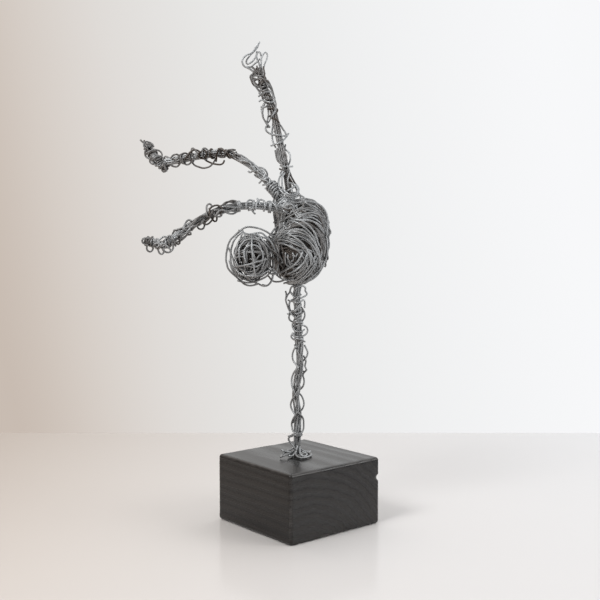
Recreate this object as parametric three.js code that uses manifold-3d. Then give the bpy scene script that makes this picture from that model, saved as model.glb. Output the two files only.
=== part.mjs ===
// A wire acrobat balancing on one hand on a square black wooden plinth.
//
// Millimetres, +Z up. The origin is the centre of the plinth's underside, with X and Y along the plinth's sides.
// The figure is bent and wound from one gauge of soft galvanised wire. It has its own frame, turned about the
// upright through FIGURE_TURN: x runs across the figure, with the legs towards -x, y runs away from its front,
// and z is the height above the surface that the plinth stands on.
//
// Each limb is a bundle of twisted strands whose ends are bent into a hand or a foot, with one looser wire
// wound round it. The torso is wound like a ball of yarn about a hinge in the hollow of the back, and the head
// is a closer ball with wider turns that stand off it. A solid core stands for the inner turns of each.

import * as THREE from "three";
import { RoundedBoxGeometry } from "three/addons/geometries/RoundedBoxGeometry.js";
import { mergeVertices } from "three/addons/utils/BufferGeometryUtils.js";
import Module from "manifold-3d";

const wasm = await Module();
wasm.setup();

// ---------------------------------------------------------------- driving dimensions

const WIRE = 1.5; // wire diameter
const GAP = 0.35; // clearance left between two pieces that touch
const FIGURE_TURN = THREE.MathUtils.degToRad(-40);

const PLINTH = { side: 95, height: 55, edge: 2.8 };
const CHIP = { height: 38, length: 4.5, depth: 1.3 }; // a knock on the upright edge at +X -Y

const STRANDS = 5; // lobes of a limb's bundle
const BUNDLE = 3; // a bundle's outer radius
const TWIST = 1.6; // turns that a bundle's strands make along a limb

const v = (x, y, z) => new THREE.Vector3(x, y, z);
const degrees = THREE.MathUtils.degToRad;

// Centre lines, from the body outwards or, for the planted arm, from the plinth upwards.
const SUPPORT_ARM = [
  v(-1, 0, PLINTH.height + GAP), v(-1, 0, 72), v(-0.5, 0, 90), v(-2, 0, 104),
  v(1, 0, 126), v(0.5, 1, 150), v(-1, 2, 178), v(0, 3, 206),
];
const RAISED_ARM = [
  v(-3, 9, 255), v(-7, 10, 270), v(-11, 14, 294), v(-16, 20, 317), v(-21, 26, 340), v(-29, 33, 362), v(-34, 36, 377),
];
const TOP_LEG = [
  v(-6, 0, 256), v(-16, 1, 269), v(-28, 5, 283), v(-36, 7, 291), v(-46, 9, 298), v(-55, 11, 302.5),
  v(-63, 13, 304), v(-82, 17, 302), v(-101, 21, 299), v(-112, 23, 297),
];
const BOTTOM_LEG = [
  v(-9, -5, 255), v(-20, -6, 258), v(-39, -10, 259.5), v(-58, -16, 257), v(-72, -20, 251), v(-89, -24, 240),
  v(-103, -28, 229),
];

// ---------------------------------------------------------------- solids

// A closed three.js geometry as a manifold-3d solid.
function solidOf(geometry) {
  const g = geometry.clone();
  g.deleteAttribute("normal");
  g.deleteAttribute("uv");
  const merged = mergeVertices(g, 1e-4);
  return new wasm.Manifold(
    new wasm.Mesh({
      numProp: 3,
      vertProperties: new Float32Array(merged.attributes.position.array),
      triVerts: new Uint32Array(merged.index.array),
    }),
  );
}

// A manifold-3d solid as a three.js geometry.
function geometryOf(solid) {
  const mesh = solid.getMesh();
  const g = new THREE.BufferGeometry();
  g.setAttribute("position", new THREE.BufferAttribute(new Float32Array(mesh.vertProperties), 3));
  g.setIndex(new THREE.BufferAttribute(new Uint32Array(mesh.triVerts), 1));
  g.computeVertexNormals();
  return g;
}

// Solids joined into one, with any pocket that is sealed between crossing wires filled.
function fuse(solids) {
  const joined = solids.reduce((all, s) => all.add(s));
  return joined.decompose().filter((body) => body.volume() > 0).reduce((all, s) => all.add(s));
}

// A closed form of `rings` rings with `around` corners each. `place` gives the point of a ring and a corner,
// and it gives one and the same point for every corner of the first ring and of the last.
function formed(around, rings, place) {
  const g = new THREE.SphereGeometry(1, around, rings);
  const position = g.attributes.position;
  for (let i = 0; i < position.count; i++) {
    const ring = Math.floor(i / (around + 1));
    const corner = (i % (around + 1)) % around;
    position.setXYZ(i, ...place(ring, (-2 * Math.PI * corner) / around).toArray());
  }
  return solidOf(g);
}

const curveOf = (points) => new THREE.CatmullRomCurve3(points, false, "centripetal");

// ---------------------------------------------------------------- wires

// One length of wire through the points, with a bend about every `pitch` millimetres.
function wire(points, pitch = 5, sides = 4) {
  const curve = curveOf(points);
  const steps = Math.max(3, Math.round(curve.getLength() / pitch));
  const section = Array.from({ length: sides }, (_, i) => {
    const a = (i / sides) * 2 * Math.PI;
    return new THREE.Vector2((WIRE / 2) * Math.cos(a), (WIRE / 2) * Math.sin(a));
  });
  return solidOf(new THREE.ExtrudeGeometry(new THREE.Shape(section), { steps, extrudePath: curve, curveSegments: 1 }));
}

// A form round a centre line: its radius is radiusAt(share of the length, angle about the line).
function round(points, around, rings, radiusAt) {
  const curve = curveOf(points);
  const last = rings - 2;
  const frames = curve.computeFrenetFrames(last, false);
  return formed(around, rings, (ring, angle) => {
    const step = THREE.MathUtils.clamp(ring - 1, 0, last);
    const centre = curve.getPointAt(step / last);
    if (ring === 0 || ring === rings) return centre;
    const r = radiusAt(step / last, angle);
    return centre
      .addScaledVector(frames.normals[step], r * Math.cos(angle))
      .addScaledVector(frames.binormals[step], r * Math.sin(angle));
  });
}

// Strands lying together, one lobe for each. They start wider by `flare` where they leave the torso, and the
// lobes turn about the line as they go.
function bundle(points, rings, flare = 0) {
  const around = STRANDS * 2;
  const lobes = (step, angle) => {
    const corner = Math.round((-angle * around) / (2 * Math.PI)) % 2;
    return BUNDLE + flare * Math.max(0, 1 - step / 0.2) ** 2 - (corner ? WIRE / 2 : 0);
  };
  const curve = curveOf(points);
  const last = rings - 2;
  const frames = curve.computeFrenetFrames(last, false);
  return formed(around, rings, (ring, angle) => {
    const step = THREE.MathUtils.clamp(ring - 1, 0, last);
    const centre = curve.getPointAt(step / last);
    if (ring === 0 || ring === rings) return centre;
    const r = lobes(step / last, angle);
    const turned = angle + (TWIST * 2 * Math.PI * step) / last;
    return centre
      .addScaledVector(frames.normals[step], r * Math.cos(turned))
      .addScaledVector(frames.binormals[step], r * Math.sin(turned));
  });
}

// The room that a bundle needs where it goes into the torso.
const socket = (points, flare = 0) =>
  round(points, 9, 6, (share) => BUNDLE + GAP + 0.15 + flare * Math.max(0, 1 - share / 0.6) ** 2);

// A narrow loop of wire that leaves `root`, bows round `tip` and comes back beside where it started.
function loop(root, tip, width, normal, share = 0.72) {
  const reach = tip.clone().sub(root);
  const sideways = reach.clone().cross(normal).setLength(width / 2);
  return wire([
    root.clone(),
    root.clone().addScaledVector(reach, share).add(sideways),
    tip.clone(),
    root.clone().addScaledVector(reach, share).sub(sideways),
    root.clone().addScaledVector(sideways, -0.3),
  ], 5);
}

// A wire wound round a limb from one share of its length to another. It lies close in some turns, and bows out
// by `swell` in others, `waves` times along its way. A `crowd` below 1 brings the later turns together.
function wrap(points, { from, to, turns, close = 4.3, swell = 2, waves = 5, phase = 0, crowd = 1 }) {
  const perTurn = 6;
  const curve = curveOf(points);
  const count = Math.round(turns * perTurn);
  const route = Array.from({ length: count + 1 }, (_, i) => {
    const along = i / count;
    const share = from + (to - from) * along ** crowd;
    const tangent = curve.getTangentAt(share);
    const across = tangent.clone().cross(v(0, 1, 0)).normalize();
    const front = tangent.clone().cross(across).normalize();
    const angle = phase + turns * 2 * Math.PI * along;
    const distance = close / Math.cos(Math.PI / perTurn) +
      swell * (0.5 - 0.5 * Math.cos(2 * Math.PI * waves * along + phase));
    return curve.getPointAt(share)
      .addScaledVector(across, distance * Math.cos(angle))
      .addScaledVector(front, distance * Math.sin(angle));
  });
  return wire(route, curveOf(route).getLength() / count);
}

// One turn of wire that goes round `centre` in the plane across `normal`, at `half` sizes. Its ends go inwards.
function turn(centre, half, normal, start) {
  const n = normal.clone().normalize();
  const a = v(0, 1, 0).cross(n).normalize();
  const b = n.clone().cross(a);
  const count = 10;
  return wire(Array.from({ length: count + 1 }, (_, i) => {
    const t = start + (i / count) * 2 * Math.PI * 0.97;
    const size = i === 0 || i === count ? 0.72 : 1;
    return a.clone().multiplyScalar(size * Math.cos(t)).addScaledVector(b, size * Math.sin(t))
      .multiply(half).add(centre);
  }), 10);
}

// ---------------------------------------------------------------- the plinth

function plinth() {
  const { side, height, edge } = PLINTH;
  const block = new RoundedBoxGeometry(side, side, height, 2, edge);
  block.translate(0, 0, height / 2);
  const knock = new THREE.OctahedronGeometry(1);
  knock.scale(CHIP.depth * 2.4, CHIP.depth * 2.4, CHIP.length / 2);
  knock.translate(side / 2, -side / 2, CHIP.height);
  return solidOf(block).subtract(solidOf(knock));
}

// ---------------------------------------------------------------- limbs

// The planted hand's fingers, from the wrist outwards and back: each lies on the plinth.
const ON_PLINTH = PLINTH.height + GAP + WIRE / 2;
const PLANTED_FINGERS = [
  [v(-2, 0, 61), v(-8, 2, 58), v(-14, -12, ON_PLINTH), v(-12, -12, ON_PLINTH), v(-6, -2, 57), v(-2, 0, 59)],
  [v(-1, 0, 59), v(-5, -8, ON_PLINTH), v(-8, -7, ON_PLINTH), v(-5, -1, 57), v(-1, 1, 58)],
  [
    v(0, -1, 60), v(-0.5, -11, ON_PLINTH), v(3, -20, ON_PLINTH), v(9, -12, ON_PLINTH), v(11, 1, ON_PLINTH),
    v(6, 4, 57), v(-1, 0, 58),
  ],
  [v(-1, 0, 60), v(-7, 8, ON_PLINTH), v(-9, 12, ON_PLINTH), v(-4, 10, ON_PLINTH), v(-1, 1, 58)],
];
const WRIST_LOOP = [v(-1, 0, 68), v(-6, -1, 69), v(-8.5, 0, 66), v(-6, 0, 62), v(-1, 0, 60)];

const supportArm = () =>
  fuse([bundle(SUPPORT_ARM, 18), ...PLANTED_FINGERS.map((points) => wire(points)), wire(WRIST_LOOP, 4.5)]);

function raisedArm() {
  const wrist = RAISED_ARM.at(-1);
  const at = (x, y, z) => wrist.clone().add(v(x, y, z));
  return fuse([
    bundle(RAISED_ARM, 16, 3),
    loop(at(1, 0, -1), at(6, 1, 16), 4.5, v(0, -1, 0)),
    loop(wrist, at(-4, 1, 17), 11, v(0.6, -1, 0)),
    wire([wrist, at(-8, 0, 0), at(-14, 0, 8), at(-6, 1, 16), at(1, 2, 24)], 5),
    wire([at(0, 1, -2), at(-6, 1, 8), at(-3, 1, 17), at(-1, 2, 21)], 5),
    wire([v(-7, 9, 269), v(-2, 5, 277), v(1.5, 5, 274), v(0, 6, 269), v(-6, 9, 268)], 5),
    wire([v(-9, 12, 291), v(-14, 9, 284), v(-15, 8, 276), v(-8, 9, 272)], 5),
  ]);
}

// A foot: the strands bunch into a knot from heel to toe, with loops that stand off it.
function foot(heel, toe, width, loops) {
  const line = toe.clone().sub(heel);
  const lumps = (share, angle) => {
    const girth = Math.sqrt(Math.max(0.05, 1 - (2 * share - 1) ** 2));
    return (width / 2) * girth * (1 + 0.13 * Math.sin(3 * angle + 9 * share));
  };
  const centre = (share) => heel.clone().addScaledVector(line, share);
  return fuse([
    round([centre(0), centre(0.5), centre(1)], 8, 8, lumps),
    ...loops.map((points) => wire(points, 5.5)),
  ]);
}

const topFoot = () =>
  foot(v(-112, 23, 290), v(-128, 26, 313), 10, [
    [v(-113, 23, 292), v(-111, 22, 286), v(-116, 21, 289), v(-121, 21, 300), v(-122, 24, 304)],
    [v(-112, 23, 293), v(-107, 24, 297), v(-112, 24, 303), v(-119, 25, 302)],
    [v(-121, 25, 303), v(-117, 27, 309), v(-122, 27, 313), v(-126, 26, 310)],
    [v(-124, 25, 306), v(-130, 24, 305), v(-131, 26, 312), v(-127, 26, 312)],
    [v(-126, 26, 310), v(-130, 27, 314), v(-133.5, 27, 317)],
  ]);

const bottomFoot = () =>
  foot(v(-102, -28, 226), v(-120, -30, 232), 10, [
    [v(-103, -28, 227), v(-102, -27, 220), v(-107, -27, 219), v(-109, -28, 226)],
    [v(-108, -28, 226), v(-110, -31, 219), v(-115, -31, 220), v(-114, -29, 228)],
    [v(-107, -28, 229), v(-109, -28, 235), v(-115, -28, 236), v(-116, -29, 231)],
    [v(-116, -29, 229), v(-121, -28, 226), v(-124, -30, 231), v(-119, -30, 233)],
    [v(-117, -30, 231), v(-119, -31, 236), v(-124, -31, 237)],
  ]);

const topLeg = () => fuse([bundle(TOP_LEG, 22), topFoot()]);
const bottomLeg = () => fuse([bundle(BOTTOM_LEG, 19), bottomFoot()]);

// ---------------------------------------------------------------- torso

// The torso's turns fan out from a hinge on the hollow side of the back, from under the chest, round the
// shoulders, to the hips: the angle of a turn in degrees, how far it reaches and half of its depth.
const HINGE = v(-17, 3, 241);
const HINGE_ROOM = 2;
const TORSO = [
  [-102, 36, 13], [-88, 41, 17], [-72, 48, 19], [-50, 49.5, 20.5], [-27, 45.5, 20.5], [0, 42, 19.5], [25, 40.5, 17.5],
  [48, 34, 14.5], [72, 27, 11.5], [98, 25, 10],
];
const torsoRun = new THREE.CatmullRomCurve3(TORSO.map((turnSize) => v(...turnSize)));

// The point of the torso at `share` of the way from the chest to the hips, at `angle` round that turn, with
// 0 at the outside, standing off the surface by `off`. The first and last tenths close over the ends.
function onTorso(share, angle, off = 0) {
  const [fan, reach, depth] = torsoRun.getPoint(share).toArray();
  const end = Math.min(share, 1 - share) / 0.1;
  const close = end < 1 ? Math.sqrt(1 - (1 - end) ** 2) : 1;
  const outwards = v(Math.cos(degrees(fan)), 0, Math.sin(degrees(fan)));
  const half = (reach - HINGE_ROOM) / 2;
  return HINGE.clone()
    .addScaledVector(outwards, HINGE_ROOM + half + (half + off) * close * Math.cos(angle))
    .add(v(0, (depth + off) * close * Math.sin(angle), 0));
}

// A turn that crosses the others: it sways along the torso by `sway`, and bows out by `bow` at `side`. Its two
// ends go in beside the hinge.
function crossing({ middle, sway, lean, bow, side }) {
  const count = 12;
  return wire(Array.from({ length: count + 1 }, (_, i) => {
    const angle = (i / count - 0.5) * 2 * Math.PI * 0.8;
    const sunk = i === 0 || i === count ? 4 : 0;
    const off = 1.1 - sunk + bow * Math.max(0, Math.cos(angle - side)) ** 2;
    return onTorso(middle + sway * Math.cos(angle - lean), angle, off);
  }), 10);
}

// A length of wire that springs from the surface and comes back to it.
const springing = (points) => wire(points, 6.5);

function torso() {
  const rings = 26;
  const core = formed(12, rings, (ring, angle) => onTorso(ring / rings, angle, ring % 2 ? -WIRE / 2 : 0));
  const neckHollow = new THREE.SphereGeometry(1, 10, 8);
  neckHollow.scale(5.5, 9, 10);
  neckHollow.translate(-8.5, -13, 214);
  const coil = wrapOnThigh();
  const turns = [
    crossing({ middle: 0.3, sway: 0.16, lean: 1.4, bow: 1, side: 0.5 }),
    crossing({ middle: 0.52, sway: -0.2, lean: 1.7, bow: 1, side: 0 }),
    crossing({ middle: 0.44, sway: 0.3, lean: 0.4, bow: 1.2, side: -1 }),
    springing([v(15, 2, 258), v(20, 0, 259), v(25.5, -2, 250), v(26.5, -2, 240), v(24, 0, 230), v(20, 0, 226)]),
    springing([v(18, -4, 216), v(21.5, -5, 209), v(16, -4, 201), v(9, -2, 195.5), v(5, 0, 199)]),
    springing([v(-10, -6, 203), v(-19, -8, 207), v(-17, -8, 200), v(-9, -6, 195.5), v(0, -3, 196)]),
    springing([v(-8, -12, 243), v(-16, -7, 236), v(-21.5, -1, 229), v(-19, 2, 221), v(-13, 0, 213)]),
  ];
  const sockets = [
    socket(SUPPORT_ARM.slice(-2).reverse(), 0), socket(RAISED_ARM.slice(0, 3), 3.4),
    socket(TOP_LEG.slice(0, 3)), socket(BOTTOM_LEG.slice(0, 3)),
  ];
  return fuse([core, coil, ...turns]).subtract(fuse(sockets)).subtract(solidOf(neckHollow));
}

// The torso's wire goes on round the thigh of the top leg in close turns.
function wrapOnThigh() {
  return wrap(TOP_LEG, { from: 0.05, to: 0.21, turns: 6, close: 4.8, swell: 0, phase: 0.4 });
}

// ---------------------------------------------------------------- head

const HEAD = { centre: v(-37.5, -10, 217), half: v(13.5, 13.5, 18.5), tilt: -0.15 };

// The wider turns of the head: size against the close ball, then the direction that each turn's plane faces.
const WIDER_TURNS = [
  [1.36, 0.15, -0.95, 0.1], [1.3, 0.75, -0.6, 0.35], [1.22, 0.95, 0.25, 0.1], [1.25, -0.65, -0.6, 0.45],
  [1.19, 0.15, -0.35, 0.9], [1.32, -0.3, -0.9, -0.45],
];

// The wires that join the head to the chest, from the head into the hollow below the chest.
const NECK = [
  [v(-27, -13, 225), v(-21, -17, 222), v(-14, -18.5, 217), v(-8.5, -13, 214)],
  [v(-27, -13, 217), v(-20, -17, 215), v(-14, -18, 212), v(-8.5, -12, 212)],
  [v(-27, -12, 209), v(-21, -16, 209), v(-15, -18, 210), v(-9, -13, 213)],
];

function head() {
  const { centre, half, tilt } = HEAD;
  const rings = 12;
  const close = formed(11, rings, (ring, angle) => {
    const polar = (ring / rings) * Math.PI;
    const r = ring % 2 ? 0.93 : 1.03;
    return v(Math.sin(polar) * Math.cos(angle), Math.sin(polar) * Math.sin(angle), -Math.cos(polar))
      .multiply(half).multiplyScalar(r).applyAxisAngle(v(0, 1, 0), tilt).add(centre);
  });
  const wider = WIDER_TURNS.map(([size, x, y, z], i) =>
    turn(centre.clone().add(v(-2, 0, 1)), half.clone().multiplyScalar(size), v(x, y, z), i * 1.3));
  return fuse([close, ...wider, ...NECK.map((points) => wire(points, 6))]);
}

// ---------------------------------------------------------------- the whole

const GREY = { color: 0x6f7477, roughness: 0.42, metalness: 0.9 };
const BLACK = { color: 0x26221f, roughness: 0.38, metalness: 0 };

function piece(name, solid, look) {
  const mesh = new THREE.Mesh(geometryOf(solid), new THREE.MeshStandardMaterial(look));
  mesh.name = name;
  return mesh;
}

const figure = new THREE.Group();
figure.rotation.z = FIGURE_TURN;
figure.add(
  piece("support_arm", supportArm(), GREY),
  piece("support_arm_wrap", wrap(SUPPORT_ARM, { from: 0.12, to: 0.9, turns: 10, waves: 5, crowd: 0.8 }), GREY),
  piece("raised_arm", raisedArm(), GREY),
  piece("raised_arm_wrap", wrap(RAISED_ARM, { from: 0.25, to: 0.93, turns: 8, waves: 4, phase: 1, swell: 2.5 }), GREY),
  piece("top_leg", topLeg(), GREY),
  piece("top_leg_wrap", wrap(TOP_LEG, { from: 0.28, to: 0.9, turns: 8, waves: 4, phase: 2, swell: 2.5 }), GREY),
  piece("bottom_leg", bottomLeg(), GREY),
  piece("bottom_leg_wrap", wrap(BOTTOM_LEG, { from: 0.2, to: 0.9, turns: 9, waves: 5, phase: 3, swell: 2.2 }), GREY),
  piece("torso", torso(), GREY),
  piece("head", head(), GREY),
);

const sculpture = new THREE.Group();
sculpture.add(piece("plinth", plinth(), BLACK), figure);

export default sculpture;
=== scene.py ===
"""A wire acrobat balancing on one hand on a black wooden plinth: the looks, built round the CAD part.

Lengths are in millimetres until `place` turns them into metres. The figure has its own frame, turned about
the upright by FIGURE_TURN: x runs across the figure, with the legs towards -x, y runs away from its front,
and z is the height above the surface that the plinth stands on.
"""

import math

import bpy
import numpy as np
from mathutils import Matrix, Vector


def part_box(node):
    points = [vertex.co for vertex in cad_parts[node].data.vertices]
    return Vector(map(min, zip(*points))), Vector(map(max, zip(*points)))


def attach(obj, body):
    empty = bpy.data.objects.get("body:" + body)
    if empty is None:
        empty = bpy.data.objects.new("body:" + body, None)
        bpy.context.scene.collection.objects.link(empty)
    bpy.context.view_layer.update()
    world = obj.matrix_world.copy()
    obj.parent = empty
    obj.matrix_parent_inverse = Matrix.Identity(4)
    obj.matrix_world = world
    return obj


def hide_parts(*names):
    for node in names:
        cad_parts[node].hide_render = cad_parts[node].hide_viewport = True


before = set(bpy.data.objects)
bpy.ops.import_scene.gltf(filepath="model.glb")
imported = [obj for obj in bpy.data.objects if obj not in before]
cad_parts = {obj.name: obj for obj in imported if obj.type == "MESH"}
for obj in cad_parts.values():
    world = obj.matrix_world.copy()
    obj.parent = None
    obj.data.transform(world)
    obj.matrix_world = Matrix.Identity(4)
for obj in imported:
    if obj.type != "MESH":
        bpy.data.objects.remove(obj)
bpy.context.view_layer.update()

# ---------------- driving dimensions

WIRE = 1.5  # wire diameter
SIDES = 8  # corners of a wire's section
FIGURE_TURN = math.radians(-40)
TURN = 2 * math.pi
PLINTH_EDGE = 2.8  # radius of the plinth's edges
FACE_WEAR = 0.22  # how far the plinth's faces fall back from flat, on average
CHIP = {"height": 38.0, "length": 5.5, "width": 9.0, "depth": 1.5}  # a knock on the upright edge at +X -Y
KINK = 9.0  # length of a small bend in the wire

plinth_low, plinth_high = (np.array(corner) * 1000 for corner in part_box("plinth"))
PLINTH_TOP = plinth_high[2]
PLINTH_MIDDLE = (plinth_low[:2] + plinth_high[:2]) / 2

rng = np.random.default_rng(27)


def place(points):
    """Points of the figure's frame, in millimetres, as points of the row frame, in metres."""
    p = np.atleast_2d(np.asarray(points, float))
    c, s = math.cos(FIGURE_TURN), math.sin(FIGURE_TURN)
    x = p[:, 0] * c - p[:, 1] * s + PLINTH_MIDDLE[0]
    y = p[:, 0] * s + p[:, 1] * c + PLINTH_MIDDLE[1]
    return np.column_stack([x, y, p[:, 2]]) / 1000


# ---------------- curves


def unit(a):
    """Vectors of length 1."""
    a = np.asarray(a, float)
    return a / np.maximum(np.linalg.norm(a, axis=-1, keepdims=True), 1e-9)


def even(points, step):
    """The same route with points at equal distances."""
    p = np.asarray(points, float)
    along = np.concatenate([[0], np.cumsum(np.linalg.norm(np.diff(p, axis=0), axis=1))])
    count = max(3, int(round(along[-1] / step)) + 1)
    at = np.linspace(0, along[-1], count)
    return np.column_stack([np.interp(at, along, p[:, k]) for k in range(p.shape[1])])


def smooth(points, step=1.3):
    """A centripetal Catmull-Rom curve through the points, with a point about every `step`."""
    p = np.asarray(points, float)
    p = np.vstack([2 * p[0] - p[1], p, 2 * p[-1] - p[-2]])
    gaps = np.maximum(np.linalg.norm(np.diff(p, axis=0), axis=1), 1e-6)
    knots = np.concatenate([[0], np.cumsum(gaps**0.5)])
    fine = []
    for i in range(1, len(p) - 2):
        k0, k1, k2, k3 = knots[i - 1 : i + 3]
        pieces = int(np.clip(gaps[i] / step * 1.5, 2, 14))
        t = np.linspace(k1, k2, pieces + 1)[:-1, None]
        a1 = (k1 - t) / (k1 - k0) * p[i - 1] + (t - k0) / (k1 - k0) * p[i]
        a2 = (k2 - t) / (k2 - k1) * p[i] + (t - k1) / (k2 - k1) * p[i + 1]
        a3 = (k3 - t) / (k3 - k2) * p[i + 1] + (t - k2) / (k3 - k2) * p[i + 2]
        b1 = (k2 - t) / (k2 - k0) * a1 + (t - k0) / (k2 - k0) * a2
        b2 = (k3 - t) / (k3 - k1) * a2 + (t - k1) / (k3 - k1) * a3
        fine.append((k2 - t) / (k2 - k1) * b1 + (t - k1) / (k2 - k1) * b2)
    fine = np.vstack(fine + [p[-2][None]])
    return even(fine, step)


def relaxed(points, times=2):
    """The route with its sharp turns eased."""
    p = np.asarray(points, float)
    for _ in range(times):
        p = np.vstack([p[:1], 0.25 * p[:-2] + 0.5 * p[1:-1] + 0.25 * p[2:], p[-1:]])
    return p


def drift(t, cycles, size=1.0):
    """A smooth random curve of about `cycles` waves over t from 0 to 1, between about -size and size."""
    total = np.zeros_like(t)
    for _ in range(4):
        waves = cycles * rng.uniform(0.45, 1.5)
        total += np.sin(TURN * (waves * t + rng.uniform())) * rng.uniform(0.5, 1)
    return total * size / 2.2


def kinked(points, size=0.2):
    """The small bends that soft wire keeps from the hand."""
    step = 1.3
    p = even(points, step)
    t = np.linspace(0, 1, len(p))
    waves = max(2, len(p) * step / KINK)
    return p + np.column_stack([drift(t, waves, size) for _ in range(3)])


def any_angle():
    return rng.uniform(0, 6.28)


class Line:
    """A limb's centre line, with directions across it that don't spin along it."""

    def __init__(self, points):
        self.points = smooth(points, 1.0)
        gaps = np.linalg.norm(np.diff(self.points, axis=0), axis=1)
        self.along = np.concatenate([[0], np.cumsum(gaps)])
        self.length = self.along[-1]
        self.tangent = unit(np.gradient(self.points, axis=0))
        side = unit(np.cross(self.tangent[0], [0.0, 1.0, 0.0]))
        sides = []
        for t in self.tangent:
            side = unit(side - t * np.dot(side, t))
            sides.append(side)
        self.side = np.array(sides)
        self.front = np.cross(self.tangent, self.side)

    def _at(self, values, share):
        """Values at shares of the line's length, from 0 to 1."""
        s = np.clip(np.asarray(share, float), 0, 1) * self.length
        return np.stack([np.interp(s, self.along, values[:, k]) for k in range(3)], axis=-1)

    def beside(self, share, angle, distance):
        """Points at a distance from the line: angle 0 is to its side, and a quarter turn is in front of it.

        Shares below 0 and above 1 are straight on past its ends.
        """
        share = np.asarray(share, float)
        over = (share - np.clip(share, 0, 1))[..., None] * self.length
        a = np.asarray(angle, float)[..., None]
        across = np.cos(a) * self._at(self.side, share) + np.sin(a) * self._at(self.front, share)
        centre = self._at(self.points, share) + over * self._at(self.tangent, share)
        return centre + np.asarray(distance, float)[..., None] * across


# ---------------- ways to lay wire on a limb


def strands(line, count=6, radius=2.0, twist=1.4, flare=0.0, wander=0.4):
    """Wires lying together along a line, one in the middle and the others round it.

    They lie further apart by `flare` at its start.
    """
    routes = []
    flared = 0.2  # share of the length over which they are spread
    t = np.linspace(0, 1, int(line.length / 4))
    for i in range(count):
        angle = TURN * i / (count - 1) + twist * TURN * t + drift(t, 3, 0.5 * wander)
        distance = (0.3 if i == 0 else 1) * radius + drift(t, 4, wander)
        distance = distance + flare * np.clip(1 - t / flared, 0, 1) ** 1.5
        routes.append(smooth(line.beside(t, angle, distance), 1.6))
    return routes


def loose(line, start, end, turns, close=3.6, swell=3.0, sway=5.0):
    """A loose wire wound round a line. It goes back and forth by `sway`, and bows out by up to `swell`."""
    t = np.linspace(0, 1, int(turns * 14))
    way = rng.choice([-1, 1])
    waves = turns * 0.7
    share = start + (end - start) * t + drift(t, turns * 0.4, sway) / line.length
    angle = any_angle() + way * turns * TURN * t + drift(t, waves, 1.3)
    bow = np.clip(drift(t, waves, 1.0) + 0.1, 0, None)
    return smooth(relaxed(line.beside(share, angle, close + swell * bow), 2), 1.2)


def coil(line, start, end, turns, close, lean=1.3):
    """Neat close turns round a line, each leaning by `lean` along it."""
    t = np.linspace(0, 1, int(turns * 16))
    angle = turns * TURN * t
    share = start + (end - start) * t + (lean * np.sin(angle) + drift(t, 4, 0.5)) / line.length
    return smooth(line.beside(share, angle, close + drift(t, 4, 0.4)), 1.2)


def tie(line, share, close=4.0, lean=0.6):
    """A turn and a half round a line, leaning by `lean` along it."""
    t = np.linspace(0, 1, 24)
    angle = any_angle() + 1.5 * TURN * t
    shift = (lean * np.sin(angle) + 0.8 * t) / line.length
    return smooth(line.beside(share + shift, angle, close + drift(t, 2, 0.3)), 1.2)


def over(line, *routes, front=True, close=4.0, at=(0, 0)):
    """Routes (x, z) from `at`, laid over a limb, before it or behind it.

    They are beside it where they leave its outline.
    """
    laid = []
    for points in routes:
        flat = smooth(np.add(points, at), 1.1)
        gap = np.linalg.norm(flat[:, None] - line.points[None, :, [0, 2]], axis=2)
        height = close + rng.uniform(-0.3, 1.0)
        rise = np.sqrt(np.clip(height**2 - gap.min(axis=1) ** 2, 0.2, None))
        y = line.points[gap.argmin(axis=1), 1] + (-rise if front else rise)
        route = relaxed(np.column_stack([flat[:, 0], y, flat[:, 1]]), 3)
        laid.append(kinked(smooth(route[::2] if len(route) > 7 else route, 1.1), 0.12))
    return laid


def upright(depth, points, at):
    """A route (x, z) from `at`, at one depth."""
    return kinked(smooth([(x, depth, z) for x, z in np.add(points, at)], 1.1), 0.2)


def with_tarnish_and_shade(routes, tarnish_and_shade):
    """Routes with how dark and brown their wire is, from 0 for clean zinc to 1 for dark and brown: partly
    brown tarnish, partly painted shade for wires that lie deep.
    """
    return [(route, tarnish_and_shade) for route in routes]


# ---------------- ways to lay wire on the body

# Ellipsoids under the body's wires: chest, back and hips, each by its centre and its half sizes.
BODY = [
    (np.array([1.0, 4.0, 223.5]), np.array([22.0, 20.0, 28.0])),
    (np.array([4.8, 3.0, 236.0]), np.array([16.8, 17.0, 31.0])),
    (np.array([-5.0, 3.0, 247.0]), np.array([11.5, 10.0, 16.0])),
    (np.array([-7.0, 2.0, 257.0]), np.array([12.0, 10.5, 9.5])),
]
BODY_MIDDLE = 3.5  # the depth of the body's middle


def skin(start, direction):
    """How far rays from inside the body go until they leave it."""
    far = np.zeros(len(direction))
    for centre, half in BODY:
        o = (start - centre) / half
        d = direction / half
        a = (d * d).sum(1)
        b = (o * d).sum(1)
        c = (o * o).sum(1) - 1
        room = b * b - a * c
        far = np.maximum(far, np.where(room > 0, (-b + np.sqrt(np.maximum(room, 0))) / a, 0))
    return far


def wind(keys, turns, lift, back_lift, waver):
    """One wire wound round the body. The middle of its turns and the way they face go through the keys.

    It stands off the body's skin by `lift` in front and by `back_lift` behind.
    """
    t = np.linspace(0, 1, int(turns * 30) + 1)
    spots = np.linspace(0, 1, len(keys))
    middle = np.column_stack([np.interp(t, spots, [k[0][j] for k in keys]) for j in range(3)])
    facing = np.column_stack([np.interp(t, spots, [k[1][j] for k in keys]) for j in range(3)])
    facing = unit(facing + np.column_stack([drift(t, turns * 0.8, waver) for _ in range(3)]))
    a = unit(np.cross(facing, [0.03, 0.02, 1.0]))
    b = np.cross(facing, a)
    angle = (TURN * turns * t)[:, None]
    out = np.cos(angle) * a + np.sin(angle) * b
    behind = np.clip(0.6 + 2.2 * out[:, 1], 0, 1)
    reach = skin(middle, out) + lift + (back_lift - lift) * behind + drift(t, turns * 1.7, 0.35)
    return smooth(relaxed(middle + out * reach[:, None]), 2.6)


def shares(points, count=8):
    """A flat route as `count` points at equal shares of its length."""
    p = smooth(points, 1.0)
    return p[np.linspace(0, len(p) - 1, count).round().astype(int)]


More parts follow.
